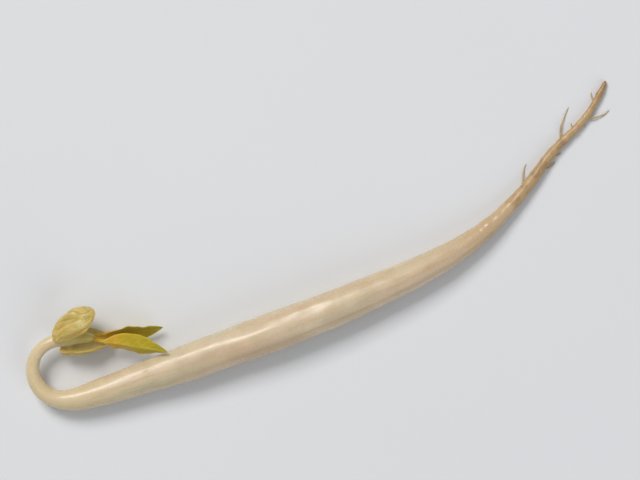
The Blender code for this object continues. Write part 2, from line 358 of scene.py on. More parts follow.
def axis_points(distances):
    """Points (mm) of the axis at distances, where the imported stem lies."""
    traced = [np.interp(distances, TRACE_AT, TRACE[:, k]) for k in range(3)]
    return np.column_stack(traced) + SHIFT


def axis_directions(distances):
    """Sideways and upward unit vectors of the axis at distances."""
    heading = np.radians(station_curve(distances, 1))
    slope = np.gradient(station_curve(distances, 2), distances)
    side = np.column_stack([-np.sin(heading), np.cos(heading), np.zeros_like(heading)])
    ahead = np.column_stack([np.cos(heading), np.sin(heading), slope])
    ahead /= np.linalg.norm(ahead, axis=1)[:, None]
    return side, np.cross(ahead, side)


def smooth_step(low, high, value):
    """0 up to low, 1 from high on, and a soft rise between them."""
    t = np.clip((value - low) / (high - low), 0.0, 1.0)
    return t * t * (3.0 - 2.0 * t)


def rounded(share):
    """The height of a quarter circle at share, 0 to 1, of its width."""
    return np.sqrt(np.clip(1.0 - (1.0 - np.clip(share, 0.0, 1.0)) ** 2, 0.0, 1.0))


def unit_sphere(detail):
    """Points and faces of a sphere of radius 1."""
    form = bmesh.new()
    bmesh.ops.create_icosphere(form, subdivisions=detail, radius=1.0)
    points = np.array([vertex.co[:] for vertex in form.verts])
    faces = [tuple(vertex.index for vertex in face.verts) for face in form.faces]
    form.free()
    return points, faces


def roughen(points, size, seed):
    """Smooth noise, about -1 to 1, at points (n, 3) in mm; size is the width of its features."""
    offset = Vector((seed * 7.31, seed * 3.17, seed * 5.53))
    return np.array([noise.noise(Vector(p) / size + offset) for p in points])


def relief_layer(straight, stretch, size, seed, height):
    """One layer of relief (mm) over a grid of places on the straightened stem."""
    flat = straight.reshape(-1, 3) * stretch
    return height * roughen(flat, size, seed).reshape(straight.shape[:2])


def ring_mesh(rings):
    """Vertices and faces of rings of points (rows, sides, 3), joined into a closed tube."""
    rows, sides = rings.shape[:2]
    near = np.arange(rows * sides).reshape(rows, sides)
    turned = np.roll(near, -1, axis=1)
    quads = np.stack([near[:-1], turned[:-1], turned[1:], near[1:]], axis=-1).reshape(-1, 4)
    faces = [tuple(quad) for quad in quads.tolist()]
    start, end = rows * sides, rows * sides + 1
    faces += [(start, b, a) for a, b in zip(near[0].tolist(), turned[0].tolist())]
    faces += [(end, a, b) for a, b in zip(near[-1].tolist(), turned[-1].tolist())]
    ends = [rings[0].mean(axis=0), rings[-1].mean(axis=0)]
    return np.vstack([rings.reshape(-1, 3), ends]), faces


def new_piece(name, vertices, faces, material, replaced):
    """A smooth mesh object from points in mm, which rides on the sprout and replaces solids."""
    mesh = bpy.data.meshes.new(name)
    mesh.from_pydata((np.asarray(vertices) * MM).tolist(), [], faces)
    form = bmesh.new()
    form.from_mesh(mesh)
    bmesh.ops.recalc_face_normals(form, faces=form.faces)
    form.to_mesh(mesh)
    form.free()
    mesh.shade_smooth()
    mesh.materials.append(material)
    piece = bpy.data.objects.new(name, mesh)
    bpy.context.scene.collection.objects.link(piece)
    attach(piece, "root")
    for node in replaced:
        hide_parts(node)
    return piece


def add_attribute(piece, name, values):
    """Stores one number or one vector for each vertex, for the material to read."""
    values = np.asarray(values, dtype=np.float32)
    kind = "FLOAT_VECTOR" if values.ndim == 2 else "FLOAT"
    attribute = piece.data.attributes.new(name, kind, "POINT")
    attribute.data.foreach_set("vector" if values.ndim == 2 else "value", values.ravel())


class Nodes:
    """Builds a node tree. Most methods add a node, link its inputs and return an output."""

    def __init__(self, tree):
        self.tree = tree

    def link(self, output, socket):
        self.tree.links.new(output, socket)

    def fill(self, socket, value):
        """Links a value that is an output, and otherwise sets it."""
        if isinstance(value, bpy.types.NodeSocket):
            self.link(value, socket)
        else:
            socket.default_value = value

    def add(self, kind, inputs=(), **settings):
        node = self.tree.nodes.new(kind)
        for key, value in settings.items():
            setattr(node, key, value)
        for key, value in dict(inputs).items():
            self.fill(node.inputs[key], value)
        return node

    def math(self, operation, first, second=0.0):
        return self.add("ShaderNodeMath", {0: first, 1: second}, operation=operation).outputs[0]

    def fit(self, value, low, high, to_low=0.0, to_high=1.0):
        """Maps low to high onto to_low to to_high, with soft ends."""
        inputs = {"Value": value, 1: low, 2: high, 3: to_low, 4: to_high}
        node = self.add("ShaderNodeMapRange", inputs, interpolation_type="SMOOTHSTEP")
        return node.outputs["Result"]

    def noise(self, place, scale, detail=3.0, roughness=0.5):
        inputs = {"Vector": place, "Scale": scale, "Detail": detail, "Roughness": roughness}
        return self.add("ShaderNodeTexNoise", inputs).outputs["Fac"]

    def stretch(self, place, scale):
        inputs = {0: place, 1: scale}
        return self.add("ShaderNodeVectorMath", inputs, operation="MULTIPLY").outputs[0]

    def mix(self, share, first, second, blend="MIX"):
        """Mixes colours; 6, 7 and output 2 are the colour sockets of a Mix node."""
        inputs = {"Factor": share, 6: first, 7: second}
        node = self.add("ShaderNodeMix", inputs, data_type="RGBA", blend_type=blend)
        return node.outputs[2]

    def tint(self, colour, mask, strength, other, blend="MIX"):
        """Lays another colour over a colour where a mask is, by strength at most."""
        return self.mix(self.math("MULTIPLY", mask, strength), colour, paint(other), blend)

    def wander(self, value, mask, reach):
        """Moves a value up or down by as much as half of reach, as a mask says."""
        off = self.math("MULTIPLY", self.math("SUBTRACT", mask, 0.5), reach)
        return self.math("ADD", value, off)

    def attribute(self, name):
        return self.add("ShaderNodeAttribute", attribute_name=name)

    def group(self, name, **inputs):
        """Places a shared effect with its own values, and builds it at its first use."""
        if name not in bpy.data.node_groups:
            EFFECTS[name]()
        node = self.tree.nodes.new("ShaderNodeGroup")
        node.node_tree = bpy.data.node_groups[name]
        for key, value in inputs.items():
            self.fill(node.inputs[key.capitalize()], value)
        return node.outputs


def new_group(name, inputs, outputs):
    """An empty shader group; inputs give each socket's type and default, outputs only names."""
    tree = bpy.data.node_groups.new(name, "ShaderNodeTree")
    for label, (kind, default) in inputs.items():
        socket = tree.interface.new_socket(name=label, in_out="INPUT", socket_type=kind)
        if default is not None:
            socket.default_value = default
    for label in outputs:
        tree.interface.new_socket(name=label, in_out="OUTPUT", socket_type="NodeSocketFloat")
    build = Nodes(tree)
    entry = tree.nodes.new("NodeGroupInput").outputs
    exit_node = tree.nodes.new("NodeGroupOutput")
    return build, entry, exit_node


def build_fibre_group():
    """Long soft streaks that run with the fibres of a stem, stalk or wrinkle."""
    build, entry, end = new_group(
        "Plant Fibres",
        {
            "Place": ("NodeSocketVector", None),
            "Along": ("NodeSocketFloat", 0.2),
            "Across": ("NodeSocketFloat", 2.0),
            "Low": ("NodeSocketFloat", 0.35),
            "High": ("NodeSocketFloat", 0.65),
        },
        ["Mask"],
    )
    inputs = {"X": entry["Along"], "Y": entry["Across"], "Z": entry["Across"]}
    scale = build.add("ShaderNodeCombineXYZ", inputs).outputs[0]
    streaks = build.noise(build.stretch(entry["Place"], scale), 1.0, 4.0, 0.6)
    build.link(build.fit(streaks, entry["Low"], entry["High"]), end.inputs["Mask"])


def build_mottle_group():
    """Soft cloudy patches, and a finer grain to lay over them."""
    build, entry, end = new_group(
        "Skin Mottle",
        {
            "Place": ("NodeSocketVector", None),
            "Size": ("NodeSocketFloat", 1.0),
            "Low": ("NodeSocketFloat", 0.4),
            "High": ("NodeSocketFloat", 0.62),
        },
        ["Mask", "Grain"],
    )
    scale = build.math("DIVIDE", 1.0, entry["Size"])
    clouds = build.noise(entry["Place"], scale, 3.0, 0.55)
    build.link(build.fit(clouds, entry["Low"], entry["High"]), end.inputs["Mask"])
    grain = build.noise(entry["Place"], build.math("MULTIPLY", scale, 9.0), 2.0, 0.5)
    build.link(grain, end.inputs["Grain"])


def build_speck_group():
    """Small scattered marks with soft edges, such as bruises and pores."""
    build, entry, end = new_group(
        "Skin Specks",
        {
            "Place": ("NodeSocketVector", None),
            "Spacing": ("NodeSocketFloat", 2.0),
            "Size": ("NodeSocketFloat", 0.2),
            "Share": ("NodeSocketFloat", 0.5),
        },
        ["Mask"],
    )
    scale = build.math("DIVIDE", 1.0, entry["Spacing"])
    cells = build.add("ShaderNodeTexVoronoi", {"Vector": entry["Place"], "Scale": scale})
    core = build.math("MULTIPLY", entry["Size"], 0.3)
    spot = build.fit(cells.outputs["Distance"], entry["Size"], core)
    pick = build.add("ShaderNodeSeparateColor", {"Color": cells.outputs["Color"]}).outputs[0]
    kept = build.math("LESS_THAN", pick, entry["Share"])
    build.link(build.math("MULTIPLY", spot, kept), end.inputs["Mask"])


EFFECTS = {
    "Plant Fibres": build_fibre_group,
    "Skin Mottle": build_mottle_group,
    "Skin Specks": build_speck_group,
}


def new_material(name, roughness, settings):
    """A material, its node builder and its shader, with settings set on the shader itself."""
    material = bpy.data.materials.new(name)
    material.use_nodes = True
    shader = material.node_tree.nodes["Principled BSDF"]
    shader.inputs["Roughness"].default_value = roughness
    for key, value in settings.items():
        shader.inputs[key].default_value = value
    return material, Nodes(material.node_tree), shader


def add_bump(build, shader, height, depth):
    """Sends a height map (0 to 1, for depth in mm) to the shader's normal."""
    inputs = {"Height": height, "Distance": depth * MM, "Strength": 1.0}
    bump = build.add("ShaderNodeBump", inputs)
    build.link(bump.outputs["Normal"], shader.inputs["Normal"])


def paint(colour):
    return (*colour, 1.0)


def stem_material(colours):
    """Moist skin, ivory on the stem, cream in the neck and tan on the root."""
    skin = {
        "Subsurface Weight": 0.5,
        "Subsurface Radius": (1.0, 0.66, 0.36),
        "Subsurface Scale": 0.9 * MM,
        "Coat Weight": 0.2,
        "Coat Roughness": 0.18,
        "IOR": 1.42,
    }
    material, build, shader = new_material("stem_skin", 0.4, skin)
    place = build.attribute("place").outputs["Vector"]
    long_place = build.stretch(place, (0.4, 1.0, 1.0))
    along = build.add("ShaderNodeSeparateXYZ", {0: place}).outputs["X"]
    warm = build.group("Plant Fibres", place=place, along=0.06, across=0.42, low=0.44, high=0.62)
    cool = build.group("Plant Fibres", place=place, along=0.05, across=0.55, low=0.50, high=0.66)
    veins = build.group("Plant Fibres", place=place, along=0.03, across=1.5, low=0.55, high=0.63)
    thread = build.group("Plant Fibres", place=place, along=0.16, across=3.6, low=0.30, high=0.72)
    mottle = build.group("Skin Mottle", place=place, size=2.4, low=0.40, high=0.64)
    worn = build.group("Skin Mottle", place=place, size=1.1, low=0.46, high=0.62)
    marks = build.group("Skin Specks", place=long_place, spacing=1.7, size=0.15, share=0.3)
    bruises = build.group("Skin Specks", place=long_place, spacing=4.6, size=0.34, share=0.35)

    edge = build.wander(along, mottle["Mask"], TINT_WANDER)
    on_root = build.fit(edge, *ROOT_TINT)
    colour = build.tint(paint(colours.ivory), warm["Mask"], 0.7, colours.blush)
    colour = build.tint(colour, cool["Mask"], 0.6, colours.green_cast)
    colour = build.tint(colour, mottle["Mask"], 0.35, colours.watery)
    colour = build.tint(colour, build.fit(along, *NECK_TINT), 0.7, colours.neck)
    colour = build.mix(build.fit(along, *SHOOT_TINT), colour, paint(colours.shoot))
    colour = build.tint(colour, build.fit(edge, *COLLAR_TINT), 0.85, colours.collar)
    colour = build.mix(on_root, colour, paint(colours.root))
    dark = build.math("MULTIPLY", build.math("MULTIPLY", worn["Mask"], on_root), 0.5)
    tip = build.math("MULTIPLY", build.fit(along, *TIP_TINT), 0.7)
    colour = build.mix(build.math("MAXIMUM", dark, tip), colour, paint(colours.root_dark))
    colour = build.tint(colour, veins["Mask"], 0.16, colours.bruise)
    stains = build.math("MULTIPLY", bruises["Mask"], worn["Mask"])
    colour = build.tint(colour, stains, 0.4, colours.bruise)
    colour = build.tint(colour, marks["Mask"], 0.5, colours.bruise)
    colour = build.tint(colour, thread["Mask"], 0.05, colours.bruise, "MULTIPLY")
    build.link(colour, shader.inputs["Base Color"])

    rough = build.fit(mottle["Grain"], 0.3, 0.7, 0.24, 0.40)
    rough = build.math("ADD", rough, build.math("MULTIPLY", on_root, 0.10))
    build.link(rough, shader.inputs["Roughness"])

    height = build.math("MULTIPLY", thread["Mask"], 0.55)
    height = build.math("ADD", height, build.math("MULTIPLY", mottle["Grain"], 0.3))
    root_grain = build.math("MULTIPLY", worn["Grain"], on_root)
    height = build.math("ADD", height, root_grain)
    add_bump(build, shader, height, 0.016)
    return material


def seed_leaf_material(colours):
    """Dull, shrivelled skin: painted highlight on the wrinkles' tops, painted brown shade in their
    bottoms.
    """
    skin = {
        "Subsurface Weight": 0.45,
        "Subsurface Radius": (1.0, 0.65, 0.2),
        "Subsurface Scale": 0.8 * MM,
        "Coat Weight": 0.3,
        "Coat Roughness": 0.2,
        "IOR": 1.42,
    }
    material, build, shader = new_material("seed_leaf_skin", 0.5, skin)
    place = build.attribute("place").outputs["Vector"]
    crease = build.attribute("crease").outputs["Fac"]
    mottle = build.group("Skin Mottle", place=place, size=1.5, low=0.40, high=0.62)
    fibres = build.group("Plant Fibres", place=place, along=0.7, across=3.2, low=0.35, high=0.7)
    specks = build.group("Skin Specks", place=place, spacing=0.5, size=0.22, share=0.4)

    colour = build.tint(paint(colours.seed_tan), mottle["Mask"], 0.7, colours.seed_olive)
    # Painted highlight: the tops of the wrinkles, where the crease mask is low, are made paler.
    colour = build.tint(colour, build.fit(crease, 0.25, 0.0), 0.4, colours.seed_highlight_and_fibre)
    # Painted shade: the bottoms of the wrinkles, where the crease mask is high, are darkened brown.
    colour = build.tint(colour, build.fit(crease, 0.15, 1.0), 0.36, colours.seed_crease_shade_and_specks)
    colour = build.tint(colour, fibres["Mask"], 0.12, colours.seed_highlight_and_fibre, "MULTIPLY")
    colour = build.tint(colour, specks["Mask"], 0.35, colours.seed_crease_shade_and_specks)
    build.link(colour, shader.inputs["Base Color"])

    rough = build.fit(mottle["Grain"], 0.3, 0.7, 0.34, 0.52)
    build.link(rough, shader.inputs["Roughness"])
    height = build.math("ADD", fibres["Mask"], build.math("MULTIPLY", mottle["Grain"], 0.6))
    add_bump(build, shader, height, 0.03)
    return material


def first_leaf_material(colours):
    """Thin young blade: orange-yellow at the stalk, greener towards the tip, with pale veins."""
    skin = {
        "Subsurface Weight": 0.35,
        "Subsurface Radius": (0.7, 0.9, 0.15),
        "Subsurface Scale": 0.4 * MM,
        "Coat Weight": 0.1,
        "Coat Roughness": 0.25,
        "IOR": 1.42,
    }
    material, build, shader = new_material("leaf_blade", 0.45, skin)
    place = build.attribute("place").outputs["Vector"]
    vein = build.attribute("vein").outputs["Fac"]
    reach = build.attribute("reach").outputs["Fac"]
    mottle = build.group("Skin Mottle", place=place, size=0.9, low=0.38, high=0.64)
    fibres = build.group("Plant Fibres", place=place, along=1.2, across=5.0, low=0.3, high=0.7)

    shade = build.wander(reach, mottle["Mask"], 0.22)
    to_middle, to_tip = build.fit(shade, 0.12, 0.5), build.fit(shade, 0.45, 0.95)
    colour = build.mix(to_middle, paint(colours.leaf_base), paint(colours.leaf_middle))
    colour = build.mix(to_tip, colour, paint(colours.leaf_tip))
    colour = build.tint(colour, vein, 0.55, colours.leaf_vein)
    colour = build.tint(colour, fibres["Mask"], 0.2, colours.leaf_tip, "MULTIPLY")
    build.link(colour, shader.inputs["Base Color"])

    rough = build.fit(mottle["Grain"], 0.3, 0.7, 0.36, 0.56)
    build.link(rough, shader.inputs["Roughness"])
    inputs = {"Vector": place, "Scale": 5.5}
    cells = build.add("ShaderNodeTexVoronoi", inputs, feature="DISTANCE_TO_EDGE")
    net = build.math("MULTIPLY", build.fit(cells.outputs["Distance"], 0.0, 0.12), 0.25)
    height = build.math("ADD", net, build.math("MULTIPLY", mottle["Grain"], 0.4))
    add_bump(build, shader, height, 0.025)
    return material


def floor_material(colours):
    """Plain pale matt board, clouded by a hair so that it isn't a dead flat tone."""
    material, build, shader = new_material("floor_matte", 0.7, {"Specular IOR Level": 0.25})
    place = build.add("ShaderNodeTexCoord").outputs["Object"]
    mottle = build.group("Skin Mottle", place=place, size=0.05, low=0.3, high=0.7)
    colour = build.tint(paint(colours.floor), mottle["Mask"], 0.02, (0.5, 0.5, 0.5))
    build.link(colour, shader.inputs["Base Color"])
    return material


def stem_rings(sizes):
    """Where the rings of the fine stem stand, closer at both ends so that these come out round."""
    middle = np.linspace(0.0, SHOOT_DISTANCE, round(SHOOT_DISTANCE / (sizes.ring_gap / MM)))
    tip_turns = np.linspace(FIRST_RING_TURN, math.pi / 2, TIP_RINGS)
    top_turns = np.linspace(FIRST_RING_TURN, math.pi / 2, TOP_RINGS)
    tip = TIP_ROUND * (1.0 - np.cos(tip_turns))
    top = SHOOT_DISTANCE - TOP_ROUND * (1.0 - np.cos(top_turns))
    after_tip = middle > TIP_ROUND + RING_CLEARANCE
    before_top = middle < SHOOT_DISTANCE - TOP_ROUND - RING_CLEARANCE
    return np.sort(np.concatenate([tip, middle[after_tip & before_top], top]))


def stem_relief(distance, turn, straight):
    """How far the skin stands off the plain round stem (mm), for each ring and angle."""
    radius = stem_radius(distance)
    on_root = 1.0 - smooth_step(*ROOT_RELIEF, distance)
    past_hook = smooth_step(*HOOK_RELIEF_END, distance)
    in_hook = smooth_step(*HOOK_RELIEF_START, distance) * (1.0 - past_hook)
    at_collar = np.exp(-(((distance - COLLAR_PLACE) / COLLAR_REACH) ** 2))
    past_top = (turn + math.pi / 2) % (2.0 * math.pi) - math.pi / 2
    inside = np.exp(-(((past_top - math.pi) / HOOK_INSIDE_TURN) ** 2))
    relief = OVAL_SHARE * radius * np.cos(2.0 * (turn - OVAL_TWIST * distance))
    relief += relief_layer(straight, *RIBS) * (1.0 - 0.4 * in_hook)
    relief += relief_layer(straight, *WAVES) * (1.0 - on_root)
    relief += relief_layer(straight, *ROOT_LUMPS) * on_root
    relief += relief_layer(straight, *ROOT_GRAIN) * on_root
    relief += relief_layer(straight, *COLLAR_CREASES) * at_collar
    relief += relief_layer(straight, *HOOK_CREASES) * in_hook * inside
    for at, angle, length, width, depth in DENTS:
        away = (turn - math.radians(angle) + math.pi) % (2.0 * math.pi) - math.pi
        across = away * radius / width
        relief -= depth * np.exp(-(((distance - at) / length) ** 2) - across**2)
    return relief


def build_stem(sizes, colours):
    """The whole growth as one skin, from root tip to shoot, with its relief."""
    rings = stem_rings(sizes)
    turns = np.linspace(0.0, 2.0 * math.pi, sizes.stem_sides, endpoint=False)
    distance, turn = np.meshgrid(rings, turns, indexing="ij")
    tip = TIP_RADIUS * rounded(distance / TIP_ROUND)
    radius = np.where(distance < TIP_ROUND, tip, stem_radius(distance))
    radius = radius * rounded((SHOOT_DISTANCE - distance) / TOP_ROUND)
    straight = np.stack([distance, radius * np.cos(turn), radius * np.sin(turn)], axis=-1)
    ends = smooth_step(0.0, 1.5, distance) * smooth_step(0.0, 0.8, SHOOT_DISTANCE - distance)
    radius = radius + stem_relief(distance, turn, straight) * ends
    centre = axis_points(rings)
    side, up = axis_directions(rings)
    points = (
        centre[:, None, :]
        + (radius * np.cos(turn))[..., None] * side[:, None, :]
        + (radius * np.sin(turn))[..., None] * up[:, None, :]
    )
    points[..., 2] = np.maximum(points[..., 2], 0.0)
    vertices, faces = ring_mesh(points)
    material = stem_material(colours)
    stem = new_piece("stem", vertices, faces, material, ["stem_with_root"])
    ends_place = np.array([[0.0, 0.0, 0.0], [SHOOT_DISTANCE, 0.0, 0.0]])
    add_attribute(stem, "place", np.vstack([straight.reshape(-1, 3), ends_place]))


def rootlet_rings(index, start, heading, length, bend, thickest):
    """Rings of points (mm) of one side rootlet, which droops to the surface as it leaves."""
    share = np.linspace(0.0, 1.0, ROOTLET_STEPS)
    kinks = 9.0 * np.sin(7.0 * share + index) + 5.0 * np.sin(17.0 * share + 2.0 * index)
    angles = np.radians(heading + bend * share + kinks * share)
    step = length / (ROOTLET_STEPS - 1)
    x = start[0] + np.concatenate([[0.0], np.cumsum(np.cos(angles[1:]) * step)])
    y = start[1] + np.concatenate([[0.0], np.cumsum(np.sin(angles[1:]) * step)])
    radius = thickest * (1.0 - ROOTLET_TAPER * share) * np.sqrt(1.0 - share**14 * 0.98)
    rest = radius + ROOTLET_LIFT
    z = rest + (start[2] - rest) * (1.0 - smooth_step(0.1, 0.9, share))
    side = np.column_stack([-np.sin(angles), np.cos(angles), np.zeros(ROOTLET_STEPS)])
    around = np.linspace(0.0, 2.0 * math.pi, ROOTLET_SIDES, endpoint=False)
    uneven = np.sin(31.0 * share + index)[:, None] * np.cos(2.0 * around + index)[None, :]
    reach = radius[:, None] * (1.0 + ROOTLET_UNEVENNESS * uneven)
    out = (reach * np.cos(around))[..., None] * side[:, None, :]
    rings = np.column_stack([x, y, z])[:, None, :] + out
    rings[..., 2] += reach * np.sin(around)
    return rings


def build_side_rootlets(sizes, material):
    """Fine side rootlets, which start inside the root and droop to the surface."""
    all_points, all_faces, all_places = [], [], []
    count = 0
    for index, (distance, turn, length, bend) in enumerate(ROOTLETS):
        start = axis_points(np.array([distance]))[0]
        heading = float(station_curve(np.array([distance]), 1)[0]) + turn
        thickest = sizes.rootlet_radius / MM
        rings = rootlet_rings(index, start, heading, length, bend, thickest)
        vertices, faces = ring_mesh(rings)
        all_points.append(vertices)
        all_faces += [tuple(i + count for i in face) for face in faces]
        all_places.append(vertices - start + (distance, 0.0, 0.0))
        count += len(vertices)
    vertices = np.vstack(all_points)
    rootlets = new_piece(
        "side_rootlets", vertices, all_faces, material, ["stem_with_root"]
    )
    add_attribute(rootlets, "place", np.vstack(all_places))


def seed_leaf_shape(p, length, width, side, phase, gap):
    """Points (mm) and crease depth of a seed leaf, flat side down, from unit sphere points."""
    px, py, pz = p.T
    blunt = 1.0 + 0.16 * px - 0.14 * px * px
    x = length / 2 * px
    y = width / 2 * py * blunt - side * SEED_LEAF_BEND * px * px
    y += SEED_LEAF_WAVER * np.sin(4.3 * px + phase) * py
    lanes = np.sin(5.6 * py + 0.9 * np.sin(2.4 * px + phase))
    lines = 0.5 * np.sin(10.5 * py - 2.6 * px + phase)
    dome = SEED_LEAF_DOME * pz + SEED_LEAF_WRINKLE * (lanes + lines) * pz
    dish = SEED_LEAF_RIM * pz + SEED_LEAF_DISH * pz * pz
    z = np.where(pz >= 0.0, dome, dish) - SEED_LEAF_CUP * py * py

    # Folds are sharp valleys, where smooth noise passes through 0.
    spread = np.column_stack([0.40 * px, 1.9 * py + 0.22 * np.sin(2.6 * px + phase), 1.5 * pz])
    large = np.abs(roughen(spread, 0.66, 11 + phase))
    small = np.abs(roughen(spread * (1.5, 1.0, 1.0), 0.24, 12 + phase))
    folds = np.clip(1.0 - large * 4.0, -0.5, 1.0)
    small_folds = np.clip(1.0 - small * 3.6, -0.4, 1.0)
    # The crease mask only colours the skin: painted shade in the folds and a painted highlight on
    # the ridges.
    crease = 0.85 * np.clip(folds, 0.0, 1.0) ** 2.5 + 0.15 * np.clip(small_folds, 0.0, 1.0)
    outside = smooth_step(-0.25, 0.2, pz) * (1.0 - 0.7 * smooth_step(0.86, 0.98, np.abs(px)))
    depth = FOLD_DEPTH * folds + SMALL_FOLD_DEPTH * small_folds
    depth = depth * (0.35 + 0.65 * outside)
    out = np.column_stack([px / length, py / width, pz / (SEED_LEAF_DOME * 2)])
    out /= np.linalg.norm(out, axis=1)[:, None]
    points = np.column_stack([x, y, z]) - out * depth[:, None]

    # The flat side reaches down to the node in a short foot.
    node_x = -SEED_LEAF_AHEAD * length
    node_y = -side * SEED_LEAF_BEND * (node_x / (length / 2)) ** 2
    reach_x, reach_y = SEED_JOINT_REACH
    foot = np.exp(-(((x - node_x) / reach_x) ** 2) - ((y - node_y) / reach_y) ** 2)
    points[:, 2] -= (gap + SEED_JOINT_SINK) * foot * (1.0 - smooth_step(-0.3, 0.05, pz))
    return points, np.clip(crease, 0.0, 1.0) * (0.05 + 0.95 * outside)


def placement_of_seed_leaf(length, side, gap):
    """Where a seed leaf lies: on the node, rolled to its side and gaping from the neck."""
    roll = UPPER_ROLL if side > 0 else UPPER_ROLL + 180.0
    out = float(stem_radius(np.array([NODE_DISTANCE]))[0]) + gap
    return (
        Matrix.Translation(axis_points(np.array([NODE_DISTANCE]))[0])
        @ Matrix.Rotation(math.radians(SEED_LEAF_HEADING), 4, "Z")
        @ Matrix.Rotation(math.radians(-roll), 4, "X")
        @ Matrix.Rotation(math.radians(-SEED_LEAF_GAPE), 4, "Y")
        @ Matrix.Translation(Vector((length * SEED_LEAF_AHEAD, 0.0, out)))
    )


def moved(points, matrix):
    """Points (n, 3) moved by a 4 x 4 matrix."""
    grid = np.array(matrix)
    return points @ grid[:3, :3].T + grid[:3, 3]


def build_seed_leaf(which, side, phase, gap, sizes, material):
    """One shrunken half of the bean, joined to the node by a short broad foot."""
    sphere, faces = unit_sphere(sizes.seed_detail)
    length, width = sizes.seed_length / MM, sizes.seed_width / MM
    shape, crease = seed_leaf_shape(sphere, length, width, side, phase, gap)
    points = moved(shape, placement_of_seed_leaf(length, side, gap))
    points[:, 2] = np.maximum(points[:, 2], 0.0)
    solid = "seed_leaf_" + which
    piece = new_piece(which + "_seed_leaf", points, faces, material, [solid])
    add_attribute(piece, "place", shape + (0.0, 0.0, 10.0 * phase))
    # The crease mask lets the material paint shade into the folds and a highlight on the ridges.
    add_attribute(piece, "crease", crease)


def leaf_middle(u, v, length, widest, phase):
    """Points (mm) of the middle of a blade: u runs from stalk to tip, v from edge to edge."""
    opened = np.clip((u - LEAF_STALK_SHARE) / (1.0 - LEAF_STALK_SHARE), 0.0, 1.0)
    outline = np.clip(np.sin(math.pi * opened**0.85), 0.0, 1.0) ** 0.9
    stalk = LEAF_STALK * np.clip(1.0 - u, 0.0, 1.0)
    half_width = np.sqrt((widest * outline) ** 2 + (stalk * 0.9) ** 2)
    half_width = half_width * rounded((1.0 - u) / LEAF_TIP_SHARE)
    fold = math.radians(LEAF_FOLD) * np.clip(u / 0.3, 0.0, 1.0)
    wave = np.sin(2.0 * math.pi * (2.3 * u + phase) + 1.4 * v)
    flutter = 0.35 * np.sin(2.0 * math.pi * (6.1 * u + 2.0 * phase) + 2.0 * v) * np.abs(v)
    ripple = LEAF_RIPPLE * outline * np.abs(v) * (wave + flutter)
    side = half_width * np.abs(v)
    x = length * u
    y = np.sign(v) * (side * np.cos(fold) + ripple * np.sin(fold))
    z = ripple * np.cos(fold) - side * np.sin(fold)
    return np.stack([x, y, z], axis=-1), half_width, outline


def vein_strength(u, v, half_width, outline):
    """How much of a vein there is at a point of the blade, 0 to 1."""
    midrib = np.exp(-((v * half_width / MIDRIB_WIDTH) ** 2)) * (1.0 - 0.5 * u)
    slant = u - SIDE_VEIN_SLANT * np.abs(v) ** 1.25
    off = (slant / SIDE_VEIN_SPACING + 0.3 * np.sign(v) + 0.5) % 1.0 - 0.5
    off_mm = off * SIDE_VEIN_SPACING * MEAN_LEAF_LENGTH
    side_veins = np.exp(-((off_mm / SIDE_VEIN_WIDTH) ** 2))
    side_veins = side_veins * (1.0 - 0.75 * np.abs(v)) * smooth_step(0.16, 0.26, u)
    side_veins = side_veins * (1.0 - smooth_step(0.82, 0.95, u))
    strength = np.clip(np.maximum(midrib, 0.75 * side_veins), 0.0, 1.0)
    return strength * np.clip(outline * 4.0, 0.0, 1.0)


def placement_of_leaf(roll, gape, twist):
    """Where a first leaf starts: at the end of the upper stem, rolled and spread from it."""
    heading = math.radians(float(station_curve(np.array([SHOOT_DISTANCE]), 1)[0]))
    ahead = Vector((math.cos(heading), math.sin(heading), 0.0)) * STALK_AHEAD
    start = Vector(axis_points(np.array([SHOOT_DISTANCE]))[0])
    return (
        Matrix.Translation(start + ahead)
        @ Matrix.Rotation(heading, 4, "Z")
        @ Matrix.Rotation(math.radians(roll), 4, "X")
        @ Matrix.Translation(Vector((0.0, 0.0, STALK_APART)))
        @ Matrix.Rotation(math.radians(-gape), 4, "Y")
        @ Matrix.Rotation(math.radians(twist), 4, "X")
    )


def both_sides(back, front):
    """Rings from the back and the front of a blade, which share their first and last columns."""
    return np.concatenate([back, front[:, -2:0:-1]], axis=1)


